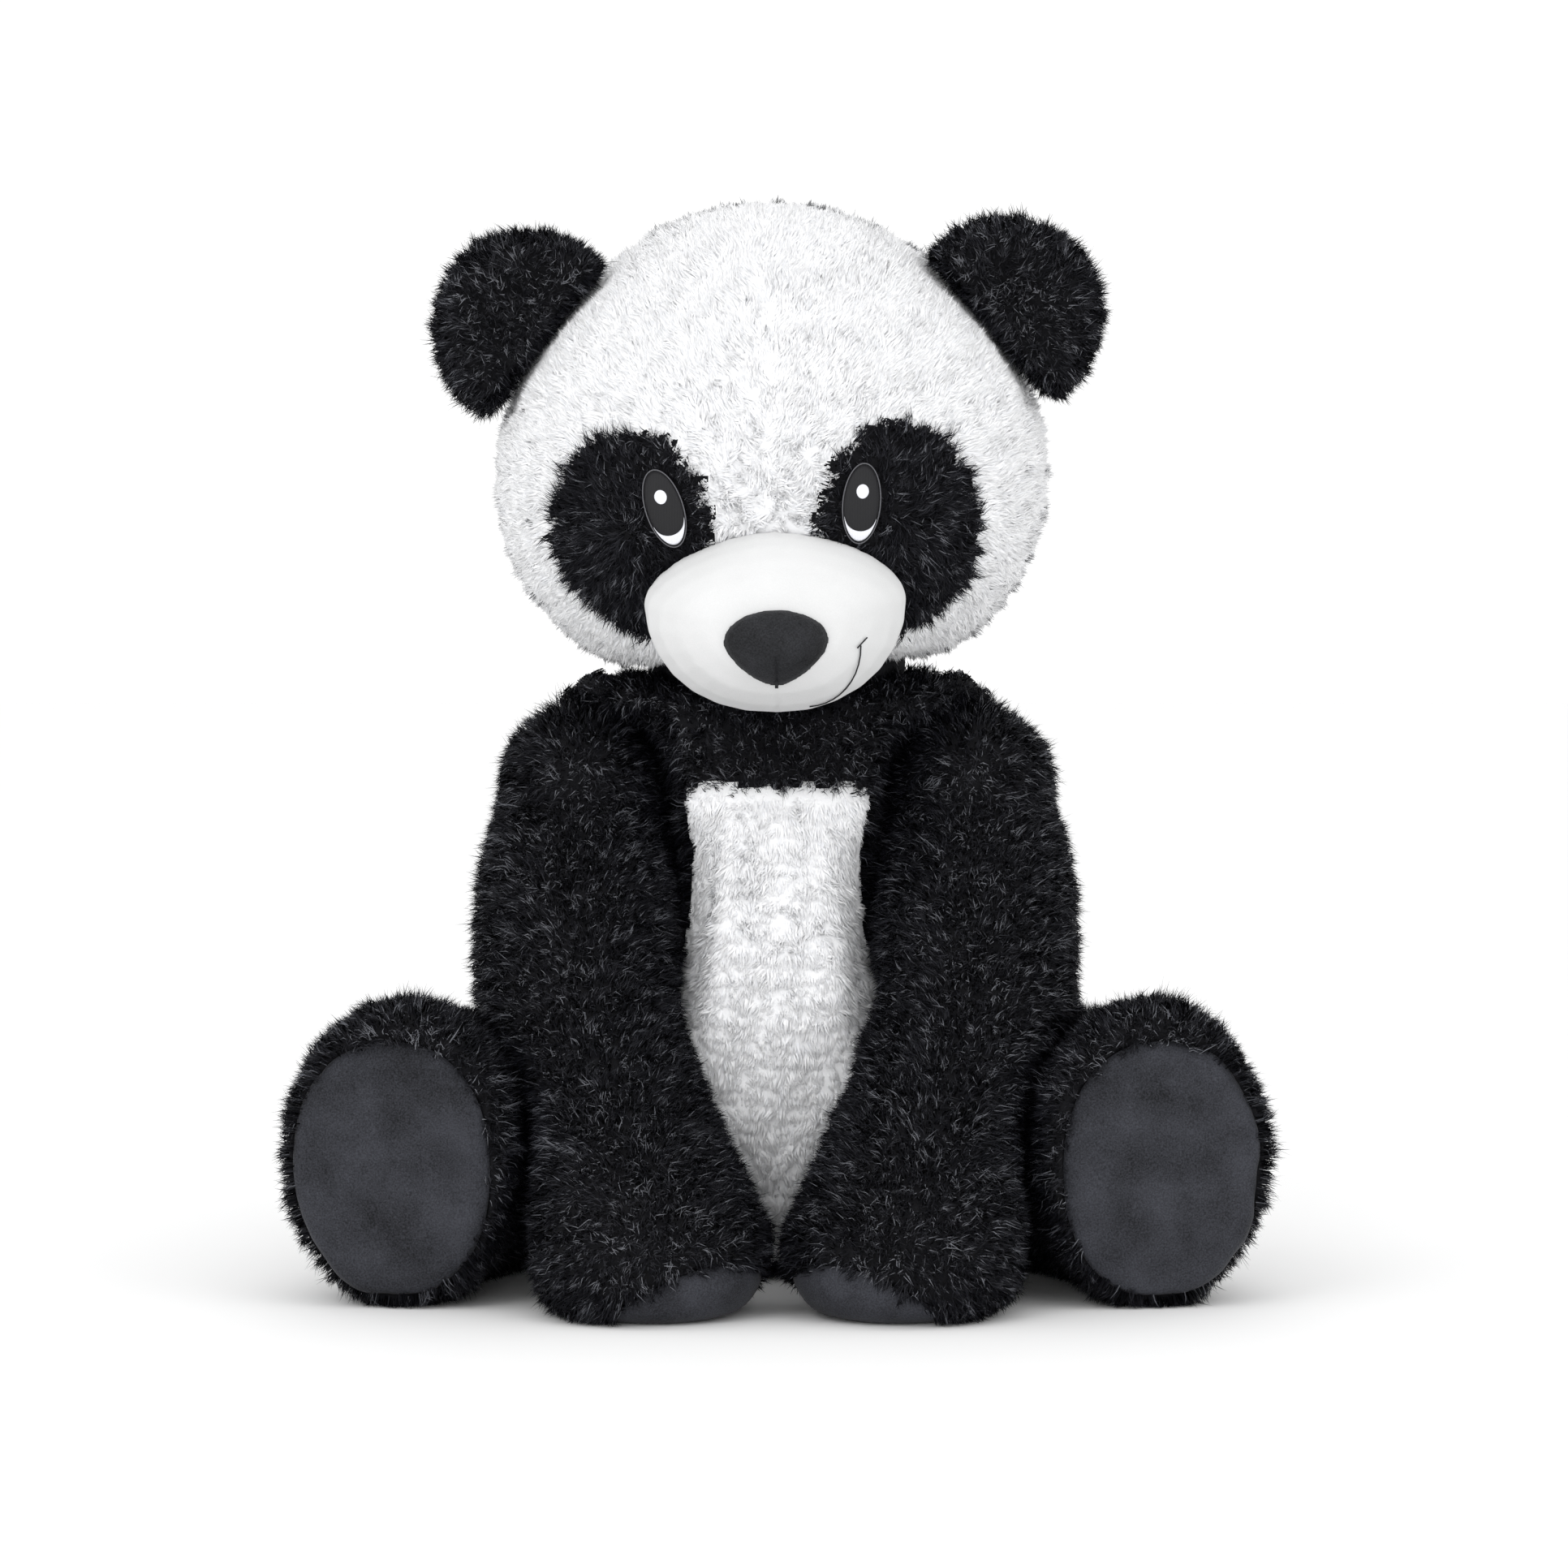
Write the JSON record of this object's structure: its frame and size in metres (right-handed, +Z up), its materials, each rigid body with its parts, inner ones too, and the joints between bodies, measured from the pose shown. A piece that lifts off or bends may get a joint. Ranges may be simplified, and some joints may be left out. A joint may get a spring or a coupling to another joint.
{
  "type": "plush toy panda",
  "caption": "Large seated plush panda of sewn fur and velour panels over stuffing, with a soft neck, arms, legs, ears and tail that flex.",
  "frame": {"origin": "on the floor, under the middle of the panda's outline", "axes": "+Z up towards the crown of the head, -Y the way the face looks, +X towards the panda's own left arm"},
  "size_m": [0.671, 0.516, 0.7589],
  "materials": {
    "white_fur": "long soft plush pile",
    "black_fur": "long soft plush pile with a slight sheen",
    "cream_velour": "short smooth velour",
    "charcoal_velour": "short smooth velour with a soft sheen",
    "dark_thread": "satin-stitched embroidery",
    "silver_thread": "satin-stitched embroidery",
    "white_thread": "satin-stitched embroidery",
    "stuffing": "loose polyester fibre",
    "label_tape": "plain woven tape"
  },
  "bodies": {
    "torso": {"chest_yoke": "black_fur", "belly_panel": "white_fur", "side_left": "black_fur", "side_right": "black_fur", "back_left": "black_fur", "back_right": "black_fur", "seat_panel": "black_fur", "body_stuffing": "stuffing", "care_label": "label_tape"},
    "neck": {"neck_stuffing": "stuffing"},
    "head": {"head_front_left": "white_fur", "head_front_right": "white_fur", "head_back_left": "white_fur", "head_back_right": "white_fur", "head_stuffing": "stuffing", "eye_patch_left": "black_fur", "eye_patch_right": "black_fur", "eye_left": "dark_thread", "eye_right": "dark_thread", "eye_rim_left": "silver_thread", "eye_rim_right": "silver_thread", "eye_shine_left": "white_thread", "eye_shine_right": "white_thread", "muzzle_cover": "cream_velour", "muzzle_stuffing": "stuffing", "nose_cover": "charcoal_velour", "nose_stuffing": "stuffing", "mouth_stitch": "dark_thread"},
    "ear_left": {"ear_left_front": "black_fur", "ear_left_back": "black_fur", "ear_left_stuffing": "stuffing"},
    "ear_right": {"ear_right_front": "black_fur", "ear_right_back": "black_fur", "ear_right_stuffing": "stuffing"},
    "arm_left": {"arm_left_outer": "black_fur", "arm_left_inner": "black_fur", "paw_pad_left": "charcoal_velour", "arm_left_stuffing": "stuffing"},
    "arm_right": {"arm_right_outer": "black_fur", "arm_right_inner": "black_fur", "paw_pad_right": "charcoal_velour", "arm_right_stuffing": "stuffing"},
    "leg_left": {"leg_left_outer": "black_fur", "leg_left_inner": "black_fur", "sole_left": "charcoal_velour", "leg_left_stuffing": "stuffing"},
    "leg_right": {"leg_right_outer": "black_fur", "leg_right_inner": "black_fur", "sole_right": "charcoal_velour", "leg_right_stuffing": "stuffing"},
    "tail": {"tail_cover": "black_fur", "tail_stuffing": "stuffing"}
  },
  "joints": [
    {"name": "neck_turn", "type": "hinge", "parent": "torso", "child": "neck", "pos_m": [0, 0.039, 0.437], "axis": [0, 0, 1], "range_deg": [-30, 30], "stiffness_Nm_per_rad": 8},
    {"name": "head_nod", "type": "hinge", "parent": "neck", "child": "head", "pos_m": [0, 0.039, 0.437], "axis": [-1, 0, 0], "range_deg": [-8, 8], "stiffness_Nm_per_rad": 20},
    {"name": "arm_left_lift", "type": "hinge", "parent": "torso", "child": "arm_left", "pos_m": [0.138, 0.036, 0.335], "axis": [-0.9604, -0.1, 0.2601], "range_deg": [0, 45], "stiffness_Nm_per_rad": 1.2},
    {"name": "arm_right_lift", "type": "hinge", "parent": "torso", "child": "arm_right", "pos_m": [-0.138, 0.036, 0.335], "axis": [-0.9604, 0.1, -0.2601], "range_deg": [0, 45], "stiffness_Nm_per_rad": 1.2},
    {"name": "leg_left_spread", "type": "hinge", "parent": "torso", "child": "leg_left", "pos_m": [0.146, 0.052, 0.094], "axis": [0, 0, 1], "range_deg": [0, 22], "stiffness_Nm_per_rad": 1.5},
    {"name": "leg_right_spread", "type": "hinge", "parent": "torso", "child": "leg_right", "pos_m": [-0.146, 0.052, 0.094], "axis": [0, 0, -1], "range_deg": [0, 22], "stiffness_Nm_per_rad": 1.5},
    {"name": "ear_left_flex", "type": "hinge", "parent": "head", "child": "ear_left", "pos_m": [0.1487, 0.004, 0.6547], "axis": [0.4742, 0, -0.8804], "range_deg": [-12, 12], "stiffness_Nm_per_rad": 0.4},
    {"name": "ear_right_flex", "type": "hinge", "parent": "head", "child": "ear_right", "pos_m": [-0.1591, 0.004, 0.6468], "axis": [0.4742, 0, 0.8804], "range_deg": [-12, 12], "stiffness_Nm_per_rad": 0.4},
    {"name": "tail_flex", "type": "hinge", "parent": "torso", "child": "tail", "pos_m": [0, 0.209, 0.062], "axis": [1, 0, 0], "range_deg": [-15, 15], "stiffness_Nm_per_rad": 0.4}
  ]
}
